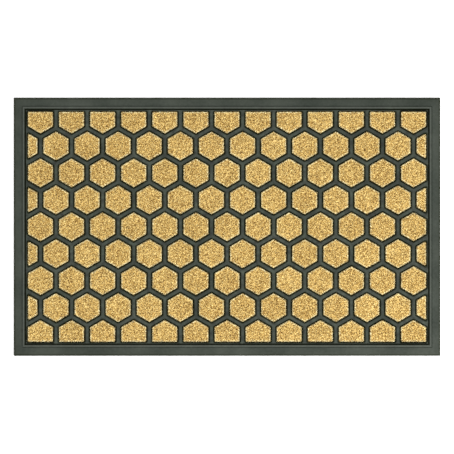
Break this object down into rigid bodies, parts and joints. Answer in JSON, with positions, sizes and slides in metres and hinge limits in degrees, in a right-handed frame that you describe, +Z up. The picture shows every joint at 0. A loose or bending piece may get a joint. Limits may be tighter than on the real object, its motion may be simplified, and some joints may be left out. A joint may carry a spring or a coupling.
{
  "type": "door mat",
  "caption": "Flat rectangular door mat: a moulded rubber tray with a beaded border and honeycomb ribs, each cell filled by a coir pad.",
  "frame": {"origin": "middle of the mat on the ground", "axes": "+X along the long side, +Y along the short side, +Z up out of the pile"},
  "size_m": [0.76, 0.46, 0.0104],
  "materials": {
    "rubber": "matte moulded rubber, greenish dark grey",
    "coir": "sheared natural coir pile, golden",
    "backing": "latex-bonded fibre sheet, dull tan"
  },
  "bodies": {
    "root": {"coir_pile_column_01": "coir", "coir_pile_column_02": "coir", "coir_pile_column_03": "coir", "coir_pile_column_04": "coir", "coir_pile_column_05": "coir", "coir_pile_column_06": "coir", "coir_pile_column_07": "coir", "coir_pile_column_08": "coir", "coir_pile_column_09": "coir", "coir_pile_column_10": "coir", "coir_pile_column_11": "coir", "coir_pile_column_12": "coir", "coir_pile_column_13": "coir", "coir_pile_column_14": "coir", "coir_pile_column_15": "coir", "coir_pile_column_16": "coir", "coir_pile_column_17": "coir", "coir_pile_column_18": "coir", "coir_pile_column_19": "coir", "coir_pile_column_20": "coir", "coir_pile_column_21": "coir", "coir_pile_column_22": "coir", "coir_pile_column_23": "coir", "coir_pile_column_24": "coir", "coir_pile_column_25": "coir", "coir_pile_column_26": "coir", "coir_pile_column_27": "coir", "pad_backing_column_01": "backing", "pad_backing_column_02": "backing", "pad_backing_column_03": "backing", "pad_backing_column_04": "backing", "pad_backing_column_05": "backing", "pad_backing_column_06": "backing", "pad_backing_column_07": "backing", "pad_backing_column_08": "backing", "pad_backing_column_09": "backing", "pad_backing_column_10": "backing", "pad_backing_column_11": "backing", "pad_backing_column_12": "backing", "pad_backing_column_13": "backing", "pad_backing_column_14": "backing", "pad_backing_column_15": "backing", "pad_backing_column_16": "backing", "pad_backing_column_17": "backing", "pad_backing_column_18": "backing", "pad_backing_column_19": "backing", "pad_backing_column_20": "backing", "pad_backing_column_21": "backing", "pad_backing_column_22": "backing", "pad_backing_column_23": "backing", "pad_backing_column_24": "backing", "pad_backing_column_25": "backing", "pad_backing_column_26": "backing", "pad_backing_column_27": "backing", "rubber_tray": "rubber"}
  },
  "joints": []
}
